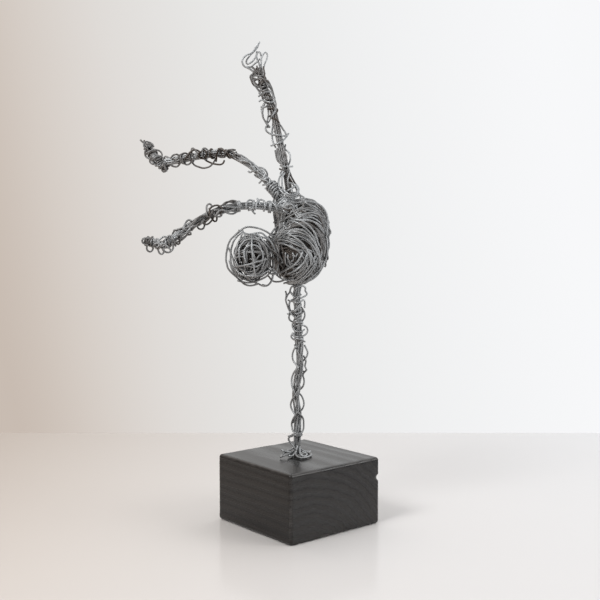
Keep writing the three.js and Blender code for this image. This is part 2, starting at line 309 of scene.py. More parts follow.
def over_body(points, lift=0.8, sink=2.5, round_the_edge=False):
    """A route (x, z) over the body's front. It stands off the body by `lift`, and its ends sink by `sink`.

    Round the edge, it doesn't end at its last point, but goes on behind the body.
    """
    x, z = smooth(points, 1.3).T
    side = np.full(len(x), -1.0)
    if round_the_edge:
        returning = 10  # points on the way back
        slope = 0.35
        back = np.arange(len(x) - 2, len(x) - 2 - returning, -1)
        z = np.concatenate([z, z[-1] + slope * (z[-1] - z[back])])
        x = np.concatenate([x, x[back]])
        side = np.concatenate([side, np.full(len(back), 1.0)])
    t = np.linspace(0, 1, len(x))
    sinking = 0.13  # share of the length, at each end
    ends = np.clip(1 - np.minimum(t, 1 - t) / sinking, 0, 1) ** 1.5
    rise = lift + drift(t, 1.5, 0.5) - sink * ends
    start = np.column_stack([x, np.full_like(x, BODY_MIDDLE), z])
    reach = skin(start, np.column_stack([0 * x, side, 0 * x]))
    route = np.column_stack([x, BODY_MIDDLE + side * np.maximum(reach + rise, 0.0), z])
    return kinked(smooth(relaxed(route, 3)[::2], 1.3), 0.1)


def fan(first, last, count, lift=0.0, sink=4.0, cross=2.2, round_the_edge=False):
    """Stiff turns over the body's front, from one route (x, z) to another. They cross at small angles."""
    routes = []
    first, last = shares(first), shares(last)
    along = np.linspace(0, 1, len(first))[:, None]
    for i in range(count):
        w = (i + 0.5 + rng.uniform(-0.5, 0.5)) / count
        p = (1 - w) * first + w * last
        p = p + (1 - along) * rng.normal(0, cross, 2) + along * rng.normal(0, cross, 2)
        p = p + 1.2 * np.sin(math.pi * along) * rng.normal(0, 1, 2) + rng.normal(0, 0.2, first.shape)
        routes.append(over_body(p, lift + rng.uniform(-1.7, 1.0), sink, round_the_edge))
    return routes


def tufts(centre, spread, count, length):
    """Short bends of wire over the body's front, in all directions round a centre (x, z)."""
    routes = []
    for _ in range(count):
        middle = np.array(centre) + rng.uniform(-1, 1, 2) * spread
        turn = rng.uniform(0, math.pi)
        along = np.array([math.cos(turn), math.sin(turn)]) * length * rng.uniform(0.35, 0.6)
        bend = np.array([-along[1], along[0]]) * rng.uniform(-0.7, 0.7)
        points = [middle - along, middle + bend, middle + along]
        routes.append(over_body(points, rng.uniform(-0.6, 1.0), 3.0))
    return routes


# ---------------- meshes


def tube(route, radius):
    """(corners, faces) of a wire along a route, closed at both ends."""
    p = np.asarray(route, float)
    n = len(p)
    tangent = unit(np.gradient(p, axis=0))
    normal = unit(np.cross(tangent[0], [0.31, 0.52, 0.79]))
    normals = np.empty_like(p)
    for i in range(n):
        normal = normal - tangent[i] * np.dot(normal, tangent[i])
        normal = normal / max(np.linalg.norm(normal), 1e-9)
        normals[i] = normal
    others = np.cross(tangent, normals)
    angle = np.arange(SIDES) * TURN / SIDES
    ring = np.cos(angle)[None, :, None] * normals[:, None] + np.sin(angle)[None, :, None] * others[:, None]
    corners = (p[:, None] + radius * ring).reshape(-1, 3)
    point = radius * 0.4
    corners = np.vstack([corners, p[0] - tangent[0] * point, p[-1] + tangent[-1] * point])
    k = np.arange(SIDES)
    after = (k + 1) % SIDES
    rings = np.arange(n - 1)[:, None] * SIDES
    here = (rings + k).ravel()
    beside = (rings + after).ravel()
    walls = np.column_stack([here, beside, beside + SIDES, here + SIDES])
    base = (n - 1) * SIDES
    first = np.column_stack([np.full(SIDES, n * SIDES), after, k])
    last = np.column_stack([np.full(SIDES, n * SIDES + 1), base + k, base + after])
    return corners, walls, np.vstack([first, last])


def add_object(name, data):
    thing = bpy.data.objects.new(name, data)
    bpy.context.scene.collection.objects.link(thing)
    return thing


def add_mesh(name, corners, faces, material):
    mesh = bpy.data.meshes.new(name)
    mesh.from_pydata(corners.tolist(), [], faces)
    mesh.materials.append(material)
    return add_object(name, mesh)


def mark(piece, name, values):
    """A value at each corner, which the material reads by name."""
    attribute = piece.data.attributes.new(name, "FLOAT", "POINT")
    attribute.data.foreach_set("value", values.astype(np.float32))


def mesh_piece(name, corners, faces, node, material):
    """A smooth mesh that stands for a CAD node."""
    piece = add_mesh(name, corners, faces, material)
    piece.data.shade_smooth()
    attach(piece, "root")
    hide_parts(node)
    return piece


def wire_piece(name, routes, node):
    """Wires as one piece, from routes that each come with how dark and brown they are: partly tarnish,
    partly painted shade.
    """
    corners, faces, tarnish_and_shade_amount = [], [], []
    count = 0
    for route, tarnish_and_shade in routes:
        c, walls, ends = tube(place(route), WIRE / 2000 * rng.uniform(0.97, 1.03))
        corners.append(c)
        faces += (walls + count).tolist() + (ends + count).tolist()
        tarnish_and_shade_amount.append(np.full(len(c), np.clip(tarnish_and_shade + rng.normal(0, 0.16), 0, 1)))
        count += len(c)
    piece = mesh_piece(name, np.vstack(corners), faces, node, wire_material)
    mark(piece, "tarnish_and_shade_amount", np.concatenate(tarnish_and_shade_amount))


# ---------------- materials


class Nodes:
    """A material's node tree, with short ways to add nodes."""

    def __init__(self, name):
        self.material = bpy.data.materials.new(name)
        self.material.use_nodes = True
        self.tree = self.material.node_tree
        self.shader = next(n for n in self.tree.nodes if n.type == "BSDF_PRINCIPLED")

    def feed(self, socket, value):
        """Gives a socket a node's output, a colour, a vector or a number."""
        if isinstance(value, bpy.types.NodeSocket):
            self.tree.links.new(value, socket)
        elif socket.type == "RGBA":
            socket.default_value = (*value, 1)
        else:
            socket.default_value = value

    def add(self, kind, **values):
        """A node with its settings and inputs. An input's name has _ for each space."""
        node = self.tree.nodes.new("ShaderNode" + kind)
        for key, value in values.items():
            if hasattr(node, key):
                setattr(node, key, value)
            else:
                self.feed(node.inputs[key.replace("_", " ")], value)
        return node

    def surface(self, **values):
        """Inputs of the material's shader, named as in `add`."""
        for key, value in values.items():
            self.feed(self.shader.inputs[key.replace("_", " ")], value)

    def where(self):
        return self.add("TexCoord").outputs["Object"]

    def marked(self, name):
        return self.add("Attribute", attribute_name=name).outputs["Fac"]

    def texture(self, kind, **values):
        return self.add("Tex" + kind, **values).outputs["Fac"]

    def mapped(self, **values):
        return self.add("Mapping", **values).outputs["Vector"]

    def ramp(self, source, stops, blend="LINEAR"):
        """A colour ramp over (position, colour) stops. A number stands for a grey."""
        node = self.add("ValToRGB", Fac=source)
        node.color_ramp.interpolation = blend
        elements = node.color_ramp.elements
        while len(elements) < len(stops):
            elements.new(0.5)
        for element, (position, colour) in zip(elements, stops):
            element.position = position
            element.color = (*colour, 1) if not np.isscalar(colour) else (colour, colour, colour, 1)
        return node.outputs["Color"]

    def math(self, operation, a, b):
        """One sum of two values, each a node's output or a number."""
        node = self.add("Math", operation=operation)
        self.feed(node.inputs[0], a)
        self.feed(node.inputs[1], b)
        return node.outputs["Value"]

    def scaled(self, value, factor, base):
        """The base plus a value times the factor."""
        return self.math("ADD", self.math("MULTIPLY", value, factor), base)

    def mix(self, factor, a, b):
        """Two colours mixed, each a node's output or a colour."""
        return self.add("MixRGB", Fac=factor, Color1=a, Color2=b).outputs["Color"]

    def bump(self, height, strength, distance):
        node = self.add("Bump", Strength=strength, Distance=distance, Height=height)
        self.surface(Normal=node.outputs["Normal"])


def galvanised_wire():
    """Matt galvanised steel: blotchy zinc, brown and dark where marked, which is partly brown tarnish and
    partly painted shade where the wire lies deep.
    """
    m = Nodes("galvanised_wire")
    where = m.where()
    blotch = m.texture("Noise", Vector=where, Scale=110.0, Detail=1.5, Roughness=0.5)
    cloud = m.texture("Noise", Vector=where, Scale=34.0, Detail=2.0)
    pits = m.texture("Noise", Vector=where, Scale=1500.0, Detail=2.0)
    zinc = m.ramp(blotch, [(0.3, (0.34, 0.35, 0.355)), (0.72, (0.52, 0.535, 0.545))])
    # The dark brown colour: partly tarnish, partly painted shade for wires deep in the tangle.
    tarnish_and_shade = m.ramp(blotch, [(0.3, (0.05, 0.039, 0.032)), (0.75, (0.14, 0.121, 0.107))])
    patchy = m.math("MULTIPLY", m.math("SUBTRACT", cloud, 0.5), 1.1)
    amount = m.ramp(m.math("ADD", m.marked("tarnish_and_shade_amount"), patchy), [(0.0, 0.0), (1.0, 1.0)])
    m.surface(Base_Color=m.mix(amount, zinc, tarnish_and_shade), Roughness=m.scaled(blotch, 0.15, 0.47), Metallic=0.85)
    m.bump(pits, 0.05, 0.0001)
    return m.material


def black_wood():
    """A block sawn from one plank, stained black and waxed: the rings run along Y and show through."""
    m = Nodes("black_wood")
    stretched = m.mapped(Vector=m.where(), Scale=(1.0, 0.09, 1.0))
    shifted = m.mapped(Vector=stretched, Location=(0.035, 0.0, 0.045))
    rings = m.texture("Wave", wave_type="RINGS", rings_direction="Y", Vector=shifted, Scale=46.0,
                      Distortion=3.2, Detail=3.0, Detail_Scale=1.4)
    pores = m.texture("Noise", Vector=stretched, Scale=420.0, Detail=2.0, Roughness=0.7)
    grain = m.math("ADD", m.math("MULTIPLY", rings, 0.6), m.math("MULTIPLY", pores, 0.4))
    stain = m.ramp(grain, [
        (0.2, (0.004, 0.003, 0.0026)), (0.55, (0.008, 0.006, 0.0052)), (0.85, (0.014, 0.011, 0.009)),
    ])
    rubbed = (0.06, 0.055, 0.052)
    m.surface(Base_Color=m.mix(m.marked("wear"), stain, rubbed), Roughness=m.scaled(grain, 0.2, 0.17))
    m.bump(grain, 0.35, 0.0004)
    return m.material


wire_material = galvanised_wire()
wood_material = black_wood()

# ---------------- the planted arm

SUPPORT_ARM = Line([
    (-1, 0, 55.9), (-1, 0, 72), (-0.5, 0, 90), (-2, 0, 104), (1, 0, 126), (0.5, 1, 150), (-1, 2, 178),
    (0, 3, 206),
])
ON_PLINTH = PLINTH_TOP + 0.35 + WIRE / 2  # the middle of a wire that rests on the plinth


def support_arm():
    routes = strands(SUPPORT_ARM, count=8, radius=2.3, twist=1.3, wander=0.6)
    routes += [smooth(points, 1.0) for points in (
        [(-1, 0, 63), (-5, 1, 60), (-13, -8, 57.5), (-14.5, -12, ON_PLINTH), (-12.5, -12, 57),
         (-5, -2, 58), (-2, 0, 60)],
        [(-14, -5, 60.5), (-11, -6, 59.5), (-6, -3, 58)],
        [(-1, 0, 60), (-5, -8, ON_PLINTH), (-8, -7, ON_PLINTH), (-4, -1, 57), (-1, 1, 58)],
        [(0, -1, 64), (-2, -5, 58), (-0.5, -11, ON_PLINTH), (3, -15, ON_PLINTH), (8, -11, ON_PLINTH),
         (10.5, -2, ON_PLINTH), (6, 4, 57), (-1, 0, 58)],
        [(1, -1, 62), (2, -8, 57.5), (5, -10, ON_PLINTH), (7, -5, 57), (1, 0, 59)],
        [(-1, 0, 60), (-7, 8, ON_PLINTH), (-9, 12, ON_PLINTH), (-4, 10, ON_PLINTH), (-1, 1, 58)],
        [(2, 0, 60), (7, 5, ON_PLINTH), (10, 9, ON_PLINTH), (6, 9, ON_PLINTH), (1, 2, 58)],
    )]
    return with_tarnish_and_shade(routes, 0.05)


def support_arm_wrap():
    arm = SUPPORT_ARM
    routes = over(
        arm,
        [(-0.5, 92), (-4.5, 85), (-5.5, 78.5), (-3, 74), (3.5, 74.5), (4.5, 80.5), (3.5, 87), (-1, 92)],
        [(-2, 88), (-6.5, 96.5), (-4, 103.5), (0, 109), (2, 113)],
        [(0.5, 129), (-3.5, 124), (-5.5, 118), (-4.5, 110.5), (-1, 104)],
        [(-2, 145.5), (-5, 138.5), (-4, 133), (0.5, 128)],
        [(2, 163), (5.5, 162), (7.5, 160), (8, 157.5), (6.5, 155), (3.5, 153.5), (0, 153), (-5.5, 154.5),
         (-4.5, 156)],
        [(-10.5, 190.5), (-9.5, 187.5), (-10.5, 184), (-9, 178.5), (-7.5, 175), (-6, 172), (-2.5, 169.5),
         (-1, 168)],
        [(-4, 194.5), (-6.5, 193.5), (-7, 192), (-6, 190.5), (-8.5, 188), (-10, 184.5)],
        [(-7, 190.5), (-4.5, 187), (-2, 184)],
        [(0, 194), (2.5, 195), (4.5, 194.5), (7, 192.5), (4.5, 191), (8, 188.5), (7, 187), (4, 185.5),
         (0, 184)],
        [(2.5, 188), (-2.5, 183), (-5, 181)],
        [(-8.5, 183), (-4.5, 182), (-1, 181), (2.5, 182), (5, 184.5), (5, 182), (6, 179), (4, 177.5),
         (6, 176)],
        [(2, 180.5), (0, 177.5), (-2.5, 173.5), (-4.5, 171)],
        [(-9, 171.5), (-7.5, 172.5), (-4.5, 174.5), (-1, 175)], [(-3, 172), (1.5, 172.5), (2.5, 174.5)],
        [(-4.5, 164), (-5, 161.5), (-4, 159), (-2, 157.5), (4, 158), (6, 159.5)],
        [(-4, 150.5), (-2.5, 152), (3.5, 150.5), (5.5, 149)], [(-8.5, 70.5), (-5, 72), (3.5, 71.5)],
        [(-5, 71), (-8.5, 70), (-7, 66), (-3.5, 63), (-2, 59)],
    )
    routes += over(
        arm,
        [(-4.5, 81.5), (-3, 87), (2, 91), (4.5, 96), (4, 102), (0, 107), (-3, 112)],
        [(7, 126), (3.5, 121), (5, 117), (3.5, 111), (0, 108)],
        [(5, 146), (8, 139.5), (5.5, 134.5), (0.5, 129.5), (-3, 124)],
        [(4.5, 137), (6.5, 132), (5, 128), (7.5, 125.5), (4, 123.5), (2, 127)],
        [(0, 179), (3.5, 176), (5.5, 172), (5, 168), (3.5, 166), (0, 163)],
        [(-3, 184), (-7, 182), (-7.5, 177.5), (-6.5, 174.5), (-3, 170)],
        [(-5, 173), (-7.5, 171), (-8, 168.5), (-7, 166), (-4.5, 165), (-1, 163)],
        [(-4, 156), (-6.5, 153.5), (-3, 150), (2, 152)],
        front=False,
    )
    routes += [
        loose(arm, 0.60, 0.96, 4, close=2.8, swell=2.5),
        loose(arm, 0.66, 0.98, 4, close=3.4, swell=3.0),
        loose(arm, 0.20, 0.62, 2, close=2.8, swell=1.5),
        tie(arm, 0.105),
        tie(arm, 0.63, 3.4),
        tie(arm, 0.72, 3.8),
        tie(arm, 0.94, 4.6),
    ]
    return with_tarnish_and_shade(routes, 0.1)


# ---------------- the raised arm

RAISED_ARM = Line([
    (-3, 9, 255), (-7, 10, 270), (-11, 14, 294), (-16, 20, 317), (-21, 26, 340), (-29, 33, 362),
    (-34, 36, 377),
])
PALM = (-33, 370)


def raised_arm():
    arm = strands(RAISED_ARM, count=9, radius=2.2, twist=0.3, flare=0.8, wander=0.2)
    fingers = [upright(depth, points, PALM) for depth, points in (
        (36, [(2.5, 1), (1.5, 13), (2.5, 18), (5, 21), (7, 19.5), (6, 15), (3.5, 8), (3, 2)]),
        (37, [(1, 4), (0, 11), (-2, 16), (-2, 20.5), (0, 21.5), (1.5, 18)]),
        (35, [(0, 1), (-2.5, 3), (-8.5, 7), (-13, 9.5), (-14.5, 13), (-13.5, 16), (-10.5, 18.5),
         (-6.5, 20), (-3, 24.5), (0.5, 29.5)]),
        (37.5, [(0, 29), (-3.5, 23), (-8, 18.5), (-11, 14.5), (-10.5, 11.5), (-5.5, 14), (-3, 17.5),
         (-2, 22)]),
        (36.5, [(0.5, 15.5), (-4.5, 11), (-8, 8.5), (-11, 9)]),
    )]
    return with_tarnish_and_shade(arm, 0.6) + with_tarnish_and_shade(fingers, 0.0)


def raised_arm_wrap():
    arm = RAISED_ARM
    pale = over(
        arm,
        [(-16, 329), (-12, 323.5), (-9.5, 319)],
        [(-28, 347.5), (-30, 341), (-29.5, 334.5), (-26.5, 329.5), (-23, 325)],
        [(-25, 328.5), (-27.5, 327), (-27, 323.5), (-22.5, 320), (-16, 319), (-9, 318.5)],
        [(-23, 310.5), (-18.5, 311.5), (-13.5, 313.5), (-10, 318), (-8, 321)],
        [(-18.5, 343), (-20, 338), (-23, 334), (-26, 329)],
        [(-33, 348.5), (-31, 350.5), (-27, 348), (-21.5, 347), (-19, 349.5)],
        [(-31.5, 344), (-28, 343), (-25, 346)], [(-33.5, 353), (-32, 355), (-27, 356), (-22.5, 357)],
        [(-15, 293.5), (-11.5, 292.5), (-7.5, 292.5), (-4.5, 293)],
        [(-11.5, 289.5), (-14.5, 288.5), (-15, 286), (-13.5, 284.5), (-11.5, 286.5)],
    )
    pale += [smooth(points, 1.2) for points in (
        [(-12, 9, 289), (-14.5, 6, 285), (-16, 1, 280), (-15.5, -3, 275), (-13.5, -6, 271),
         (-9.5, -8, 268), (-6.5, -8.5, 266.8), (-3, -8, 267.5), (0, -5, 270), (-0.5, -2, 273),
         (-4, 0, 276)],
        [(-11, 8, 287), (-13, 4, 284), (-13.3, 1, 280), (-12.5, -3, 274), (-10, -6, 270.5),
         (-6.8, -8, 268.5), (-3, -7, 269), (0.5, -4, 272), (-1, -1, 276), (-5, 1, 278)],
        [(-8, 4, 279), (-3, -1, 277), (-0.5, -3, 274), (-1.5, -6, 270.5), (-5, -7, 270.5), (-5, -4, 274),
         (-2, -2, 276)],
        [(-9, -4, 271.5), (-5.5, -5, 273.5), (-3, -4, 275)],
        [(-4, -5, 267), (0, -5, 268.5), (3, -5, 267.5), (5, -5, 265.5), (3.5, -5, 262)],
    )]
    pale += over(
        arm,
        [(-26, 345), (-25, 336.5), (-26.5, 329.5), (-25, 325)],
        [(-21, 332), (-22, 320.5), (-21, 313), (-18, 308)],
        [(-10.5, 311.5), (-11.5, 307.5), (-8.5, 306), (-6.5, 301.5), (-7, 297), (-9, 292.5)],
        [(-29.5, 336), (-31, 342), (-28, 348), (-24, 350)],
        [(-9, 268), (-12, 262), (-4, 260), (2, 266), (-1, 274)],
        front=False,
    )
    dark = over(
        arm,
        [(-19, 306.5), (-18.5, 302.5), (-17, 297.5), (-13.5, 294), (-12, 289)],
        [(-17.5, 308), (-17, 303), (-15.5, 298), (-12.5, 293)],
    )
    dark += over(
        arm,
        [(13, -29.5), (14.5, -25), (13, -20), (11, -14), (9, -8.5), (6, -5.5)],
        [(-7, 0), (-6.5, -4), (-3.5, -8), (2, -7.5), (6, -3), (4, 1), (-1.5, 3.5), (-6, 2)],
        [(-3.5, -3), (2, -1.5), (6, -5.5), (7.5, -11), (3, -13), (-0.5, -11.5)],
        [(6, -6.5), (10.5, -11), (12, -16.5), (9.5, -20.5), (4, -18.5), (0, -14)],
        [(-6.5, 0), (-5, -5), (-1, -11), (3, -18)], [(-7, 1), (-3, 4.5), (2, 2.5), (5, -2)],
        [(-5.5, 2.5), (-8, 1.5), (-8, -0.5), (-6, -3), (-5, -6), (-2.5, -8), (-0.5, -9.5)],
        [(-6.5, 0), (-2, -2.5), (1.5, -3), (4, -2.5)],
        [(-5.5, 1), (-1, 0.5), (3, -0.5), (4, 1), (3.5, 4), (2.5, 6.5)],
        [(-0.5, -6.5), (3, -3), (6, -2), (7, -4.5), (4.5, -7.5), (2.5, -8)],
        [(-0.5, -7.5), (-4, -5), (-5, -3), (-2, -2)], [(-9.5, 8), (-5, 4.5), (-1, -0.5)],
        [(-5, 8), (-3.5, 5.5), (-2, 3)], [(-5.5, -2), (-2, -8), (3, -10), (6, -8)],
        [(-1, 3), (2, -4), (1, -10), (5, -14)], [(7, -3), (10, -8), (12, -15), (13.5, -20)],
        [(-6, 8), (-2, 4.5), (1.5, 1)], [(-2, 9), (-1, 5), (2, 2)],
        [(3.5, 9), (4.5, 1.5), (4.5, -3), (1.5, -7)],
        at=PALM,
    )
    dark += over(
        arm,
        [(-9, 293.5), (-7, 287.5), (-9, 281), (-8, 274)],
        [(-15.5, 291), (-12, 289), (-8.5, 284), (-4, 278), (-1.5, 274.5), (-1, 270)],
        [(-12, 304), (-9, 301), (-12, 297), (-8, 294)], [(-8, 290), (-4.5, 282), (0, 275)],
    )
    dark += [
        loose(arm, 0.55, 1.0, 5, close=3.0, swell=2.2),
        loose(arm, 0.72, 1.0, 4, close=3.2, swell=2.0),
        loose(arm, 0.15, 0.60, 3, close=2.8, swell=1.6),
    ]
    return with_tarnish_and_shade(pale, 0.05) + with_tarnish_and_shade(dark, 0.7)


# ---------------- the legs

TOP_LEG = Line([
    (-6, 0, 256), (-16, 1, 269), (-28, 5, 283), (-36, 7, 291), (-46, 9, 298), (-55, 11, 302.5),
    (-63, 13, 304), (-82, 17, 302), (-101, 21, 299), (-112, 23, 297),
])
BOTTOM_LEG = Line([
    (-9, -5, 255), (-20, -6, 258), (-39, -10, 259.5), (-58, -16, 257), (-72, -20, 251), (-89, -24, 240),
    (-103, -28, 229),
])
TOP_FOOT = Line([(-108, 23, 296), (-113, 23.5, 294), (-120, 24.5, 301), (-128, 26, 312)])
BOTTOM_FOOT = Line([(-98, -27.5, 231), (-105, -28.5, 228), (-112, -29, 229), (-120, -30, 232)])
TOP_ANKLE = (-112, 297)
BOTTOM_ANKLE = (-103, 229)


def top_leg():
    leg = strands(TOP_LEG, count=10, radius=2.4, twist=0.2, wander=0.15)
    foot = strands(TOP_FOOT, count=6, radius=2.2, twist=0.6, wander=0.9)
    for close in (2.0, 2.8, 3.4, 3.9, 4.3):
        foot.append(loose(TOP_FOOT, 0.1, 0.95, 4, close=close, swell=1.2, sway=3.0))
    foot += over(
        TOP_FOOT,
        [(0, 1), (-2, -4.5), (-1.5, -8), (0, -8.5), (1.5, -6), (0.5, -1)],
        [(-10, 11), (-5, 10.5), (-2, 7.5), (-2, 4.5), (-6, 2)],
        [(-16, 10), (-17, 6.5), (-14.5, 4), (-11, 3), (-8, 6)],
        [(-11, 4), (-13, 2), (-11, -1), (-7.5, -1.5), (-4, 0.5)],
        [(-15.5, 11), (-17.5, 15.5), (-16.5, 18), (-13, 17), (-10, 16), (-9, 12)],
        [(-9.5, 0.5), (-7, -3), (-4, -2), (-2, -4.5)],
        [(-14, 7), (-9.5, 10), (-6.5, 6), (-7.5, 2), (-12, 4)],
        [(-5, 6), (-1.5, 4), (1, 1), (1.5, -2.5), (-2, -3)],
        [(-1.5, 2), (-0.5, 5), (2, 5.5), (4.5, 3), (8, 4)],
        at=TOP_ANKLE,
        close=3.4,
    )
    foot += [
        upright(26.5, [(-10, 9), (-14.5, 14.5), (-18, 17), (-20.5, 19.5)], TOP_ANKLE),
        upright(27.5, [(-12, 11), (-15, 15), (-17, 17), (-17.5, 19)], TOP_ANKLE),
    ]
    return with_tarnish_and_shade(leg, 0.25) + with_tarnish_and_shade(foot, 0.65)


def top_leg_wrap():
    leg = TOP_LEG
    knee = over(
        leg,
        [(-48, 297), (-43, 296.5), (-39.5, 295), (-37, 291), (-34, 287)],
        [(-36.5, 292.5), (-34, 288), (-29.5, 285.5), (-26, 282)],
        [(-33.5, 288), (-30.5, 289.5), (-27.5, 287), (-28, 282.5), (-32, 278.5)],
        [(-28, 281), (-25.5, 283), (-22.5, 281.5), (-23.5, 278.5), (-27, 277), (-30, 276.5)],
        [(-41, 288.5), (-40, 286.5), (-38, 288), (-33.5, 290)],
        [(-47, 300), (-42, 297), (-37, 295), (-33, 290), (-28, 286)],
        [(-52, 303), (-46, 301), (-41, 297.5), (-37, 294)],
        [(-33, 285.5), (-30.5, 281.5), (-26, 280.5), (-22.5, 276)],
    )
    knee += over(
        leg,
        [(-36, 286), (-34, 283.5), (-31, 283), (-27, 278.5), (-24, 274)],
        [(-35, 292), (-29, 291), (-25, 286), (-27, 281)],
        front=False,
    )
    shin = over(
        leg,
        [(-87.5, 302), (-89, 308), (-88, 309.5), (-86, 307), (-83, 303.5), (-84, 299.5)],
        [(-79, 303.5), (-79.5, 307.5), (-78, 309), (-75, 306.5), (-72.5, 302)],
        [(-82.5, 303), (-79.5, 306), (-76, 305.5), (-75, 302.5), (-77, 299.5), (-80.5, 299.5),
         (-82.5, 302.5)],
        [(-96, 300), (-95.5, 296), (-92.5, 294.5), (-89.5, 296), (-87, 300)],
        [(-106, 300), (-103.5, 303.5), (-99.5, 303), (-98.5, 300.5), (-101, 298.5), (-105, 300)],
        [(-106, 294.5), (-102.5, 293), (-99, 295), (-97, 298)],
        [(-68, 297), (-65.5, 306.5), (-63, 308), (-60, 304)],
        [(-61, 301), (-57, 306.5), (-54, 305), (-51, 300)],
        [(-66, 307), (-61, 306), (-57, 302), (-53, 299)],
        [(-74, 305), (-68, 302), (-63, 300), (-59, 300.5)],
        close=4.2,
    )
    shin += over(
        leg,
        [(-91, 302), (-89.5, 298.5), (-87.5, 295.5), (-84.5, 293.5), (-79.5, 292), (-74.5, 292.5),
         (-71, 295), (-68.5, 299.5), (-67, 303)],
        [(-80.5, 302), (-77.5, 299), (-73.5, 296.5), (-69, 295), (-64, 294.5), (-61.5, 295.5), (-61, 299)],
        [(-99, 303), (-94, 305), (-90, 302)],
        front=False,
    )
    shin += [tie(leg, share) for share in (0.87, 0.81, 0.72, 0.67)]
    shin += [loose(leg, 0.50, 0.98, 3, close=3.4, swell=2.0)]
    shin += [loose(leg, 0.52, 0.62, 2, close=3.3, swell=0.8, sway=2.0)]
    return with_tarnish_and_shade(knee, 0.15) + with_tarnish_and_shade(shin, 0.8)


def bottom_leg():
    leg = strands(BOTTOM_LEG, count=10, radius=2.3, twist=0.25, wander=0.15)
    foot = strands(BOTTOM_FOOT, count=6, radius=2.0, twist=0.6, wander=0.9)
    for close in (2.0, 2.6, 3.2):
        foot.append(loose(BOTTOM_FOOT, 0.05, 0.98, 4, close=close, swell=1.8, sway=3.0))
    foot += over(
        BOTTOM_FOOT,
        [(-1.5, -2), (0, 4.5), (2.5, 7), (5, 4), (4.5, 0), (1.5, -3.5), (-2, -3)],
        [(-3, -4), (-2, -6.5), (2, -7), (5, -4.5), (5, 1)],
        [(-7, -2), (-6.5, -6), (-4.5, -9), (-2.5, -8), (-2, -3)],
        [(-14, 2), (-15.5, -2.5), (-15, -6), (-12.5, -7), (-10.5, -4), (-9.5, 1)],
        [(-13, 4), (-18, 4), (-18.5, 0.5), (-14, -1)], [(-15.5, 0), (-14, 6.5), (-12, 2)],
        [(-12, 0), (-10.5, 6), (-9, 1)], [(-9, 0), (-7.5, 5), (-5, 0)],
        [(-7, 1), (-4.5, 4), (-2, 6), (1.5, 4)], [(6.5, 3), (7.5, -0.5), (10, -1), (10.5, 2), (8, 5)],
        [(3.5, 4), (5.5, 2), (7.5, -3)], [(-8, -4), (-4, 0), (0, -1), (3, -5)],
        [(-11, -3), (-7, 1), (-3, -3), (0, 0)], [(-17, 1), (-13, -2), (-9, -2), (-5, -5)],
        at=BOTTOM_ANKLE,
        close=3.2,
    )
    return with_tarnish_and_shade(leg, 0.25) + with_tarnish_and_shade(foot, 0.6)


def bottom_leg_wrap():
    leg = BOTTOM_LEG
    shin = over(
        leg,
        [(-71.5, 250), (-72.5, 256), (-72.5, 259.5), (-70.5, 261), (-68, 259.5), (-69, 257), (-72, 256)],
        [(-70, 251), (-69.5, 257.5), (-65, 259.5), (-61.5, 258.5), (-59.5, 256.5), (-61.5, 253)],
        [(-66.5, 255), (-63.5, 256), (-60.5, 254), (-60.5, 251), (-63.5, 250), (-66.5, 252.5)],
        [(-76, 246), (-73, 243.5), (-69.5, 246), (-66, 251)],
        [(-90, 239.5), (-89.5, 242.5), (-88, 246.5), (-86, 248.5), (-84, 246.5), (-81, 247)],
        [(-85, 243), (-81.5, 246.5), (-78, 250), (-75, 251), (-71, 250)],
        [(-98, 239), (-93.5, 240.5), (-89.5, 241), (-86, 238.5)],
        [(-89, 240), (-85, 238), (-83.5, 236), (-87, 236)],
        [(-93, 233), (-91, 233.5), (-88, 235), (-86.5, 238)],
        [(-95, 236), (-88, 237), (-83, 243), (-78, 243), (-74, 248)],
        [(-84, 239), (-78, 245), (-73, 246), (-68, 254)], [(-66, 250), (-61, 256), (-56, 254), (-50, 257)],
        [(-93, 231), (-90, 240), (-84, 243), (-79, 249)],
    )
    shin += over(
        leg,
        [(-71, 252), (-68.5, 249), (-65.5, 245.5), (-64.5, 248), (-65, 252)],
        [(-82, 246), (-80.5, 243), (-78.5, 240.5), (-75.5, 240), (-74, 243.5), (-74.5, 250)],
        [(-63, 255), (-60.5, 259.5), (-57.5, 262), (-55, 262.5), (-51.5, 262), (-47, 259)],
        [(-58, 261), (-53, 263.5), (-47, 262), (-43, 259)],
        [(-100, 234), (-97, 240), (-93, 238), (-90, 242)],
        front=False,
    )
    thigh = over(
        leg,
        [(-41.5, 257), (-41, 262.5), (-37.5, 264.5), (-35, 261.5), (-36.5, 257), (-40, 255.5)],
        [(-34.5, 256), (-33, 262), (-29.5, 265), (-26.5, 261.5), (-28, 254)],
        [(-39, 258), (-37, 255.5), (-34, 252)], [(-30.5, 260), (-33, 265.5)],
        [(-27, 256), (-25, 263), (-22, 263), (-19, 260.5), (-16.5, 255)],
        [(-62, 252), (-59, 253.5), (-55, 255.5), (-50, 254.5), (-46, 256.5)],
        [(-60, 258), (-54.5, 258.5), (-49, 257.5), (-44, 260.5)], [(-58, 254), (-52, 252.5), (-46, 257)],
    )
    thigh += [tie(leg, share) for share in (0.125, 0.135, 0.26, 0.37, 0.385)]
    shin += [loose(leg, 0.45, 0.98, 2, close=3.0, swell=2.0)]
    return with_tarnish_and_shade(thigh, 0.15) + with_tarnish_and_shade(shin, 0.55)


# ---------------- the torso

# The inner turns, from the neck round the chest and shoulders to the hips: their middle and their facing.
INNER_TURNS = [
    ((-9, -9.5, 213), (-0.50, -0.80, -0.30)), ((-6, -6, 215.5), (-0.52, -0.75, -0.38)),
    ((-3, -3, 218.5), (-0.55, -0.68, -0.45)), ((1, 1, 226), (-0.50, -0.58, -0.60)),
    ((3, 3, 233), (-0.40, -0.45, -0.80)), ((4, 4, 242), (-0.10, -0.25, -0.95)),
    ((1, 3, 250), (0.30, -0.10, -0.90)), ((-5, 2, 257), (0.60, 0.00, -0.75)),
    ((-11, 2, 261), (0.75, 0.00, -0.65)),
]

